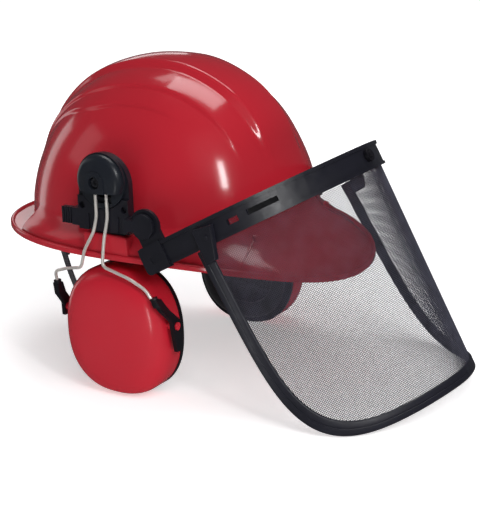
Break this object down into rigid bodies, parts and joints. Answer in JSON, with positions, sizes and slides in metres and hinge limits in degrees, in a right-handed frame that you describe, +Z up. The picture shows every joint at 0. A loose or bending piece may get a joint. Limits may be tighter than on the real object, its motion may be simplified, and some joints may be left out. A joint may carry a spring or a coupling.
{
  "type": "forestry helmet",
  "caption": "Hard-shell forestry helmet with hinged ear defenders on wire arms and a tilting mesh visor on a curved brow band.",
  "frame": {"origin": "middle of the head opening, level with the side brim's mid line", "axes": "+X forward out of the face opening, +Y the wearer's left, +Z up through the crown"},
  "size_m": [0.3867, 0.2306, 0.24],
  "materials": {
    "shell_red": "glossy moulded red, faint moulding ripple",
    "cup_red": "satin-gloss moulded red",
    "dark_plastic": "fine-textured dark grey moulding",
    "cap_plastic": "satin dark grey moulding",
    "black_plastic": "fine-textured black moulding",
    "screw_black": "blackened steel screw",
    "wire_mesh": "dark coated woven wire",
    "rubber_edging": "matt black extruded edging",
    "steel": "drawn stainless wire",
    "harness_plastic": "plain black moulding",
    "webbing": "woven polyester tape",
    "elastic_black": "narrow ribbed elastic",
    "sweatband_foam": "brushed cloth over foam",
    "cushion_vinyl": "soft vinyl skin",
    "foam": "open-cell foam"
  },
  "bodies": {
    "helmet": {"shell": "shell_red", "crown_strap_side": "webbing", "crown_strap_right": "webbing", "crown_strap_left": "webbing", "headband": "harness_plastic", "sweatband": "sweatband_foam", "nape_housing": "harness_plastic", "nape_pad": "sweatband_foam", "chin_strap": "elastic_black", "chin_slider": "black_plastic", "right_strap_clip_front": "harness_plastic", "right_strap_clip_side": "harness_plastic", "right_strap_clip_rear": "harness_plastic", "right_chin_anchor": "black_plastic", "right_adapter_base": "dark_plastic", "right_pivot_screw": "screw_black", "right_slide_bar": "dark_plastic", "right_visor_pin": "dark_plastic", "left_strap_clip_front": "harness_plastic", "left_strap_clip_side": "harness_plastic", "left_strap_clip_rear": "harness_plastic", "left_chin_anchor": "black_plastic", "left_adapter_base": "dark_plastic", "left_pivot_screw": "screw_black", "left_slide_bar": "dark_plastic", "left_visor_pin": "dark_plastic"},
    "nape_wheel": {"nape_knob": "black_plastic"},
    "visor": {"visor_band": "dark_plastic", "visor_mesh": "wire_mesh", "visor_edging": "rubber_edging", "visor_front_stud": "black_plastic", "right_visor_clip": "dark_plastic", "left_visor_clip": "dark_plastic"},
    "right_turn": {"right_turntable": "cap_plastic"},
    "right_arm": {"right_rocker": "black_plastic"},
    "right_hanger": {"right_wire_rear": "steel", "right_wire_front": "steel", "right_yoke_front": "black_plastic", "right_yoke_rear": "black_plastic"},
    "right_muff": {"right_cup": "cup_red", "right_cup_rim": "black_plastic", "right_cushion": "cushion_vinyl", "right_cup_foam": "foam"},
    "left_turn": {"left_turntable": "cap_plastic"},
    "left_arm": {"left_rocker": "black_plastic"},
    "left_hanger": {"left_wire_rear": "steel", "left_wire_front": "steel", "left_yoke_front": "black_plastic", "left_yoke_rear": "black_plastic"},
    "left_muff": {"left_cup": "cup_red", "left_cup_rim": "black_plastic", "left_cushion": "cushion_vinyl", "left_cup_foam": "foam"}
  },
  "joints": [
    {"name": "nape_knob_turn", "type": "hinge", "parent": "helmet", "child": "nape_wheel", "pos_m": [-0.107, 0, -0.019], "axis": [1, 0, 0], "range_deg": [-170, 170]},
    {"name": "visor_tilt", "type": "hinge", "parent": "helmet", "child": "visor", "pos_m": [0.0448, 0, 0.0294], "axis": [0, -1, 0], "range_deg": [-20, 60]},
    {"name": "right_muff_swing", "type": "hinge", "parent": "helmet", "child": "right_turn", "pos_m": [0.004, -0.1046, 0.0565], "axis": [0, 1, 0], "range_deg": [-8, 10]},
    {"name": "right_muff_lift", "type": "hinge", "parent": "right_turn", "child": "right_arm", "pos_m": [0.0044, -0.1066, 0.0502], "axis": [-1, 0, 0], "range_deg": [0, 30]},
    {"name": "right_muff_height", "type": "slide", "parent": "right_arm", "child": "right_hanger", "axis": [0, 0, -1], "range_m": [0, 0.01]},
    {"name": "right_cup_tilt", "type": "hinge", "parent": "right_hanger", "child": "right_muff", "pos_m": [0.009, -0.098, -0.047], "axis": [1, 0, 0], "range_deg": [-6, 6]},
    {"name": "left_muff_swing", "type": "hinge", "parent": "helmet", "child": "left_turn", "pos_m": [0.004, 0.1046, 0.0565], "axis": [0, 1, 0], "range_deg": [-8, 10]},
    {"name": "left_muff_lift", "type": "hinge", "parent": "left_turn", "child": "left_arm", "pos_m": [0.0044, 0.1066, 0.0502], "axis": [1, 0, 0], "range_deg": [0, 30]},
    {"name": "left_muff_height", "type": "slide", "parent": "left_arm", "child": "left_hanger", "axis": [0, 0, -1], "range_m": [0, 0.01]},
    {"name": "left_cup_tilt", "type": "hinge", "parent": "left_hanger", "child": "left_muff", "pos_m": [0.009, 0.098, -0.047], "axis": [1, 0, 0], "range_deg": [-6, 6]}
  ]
}
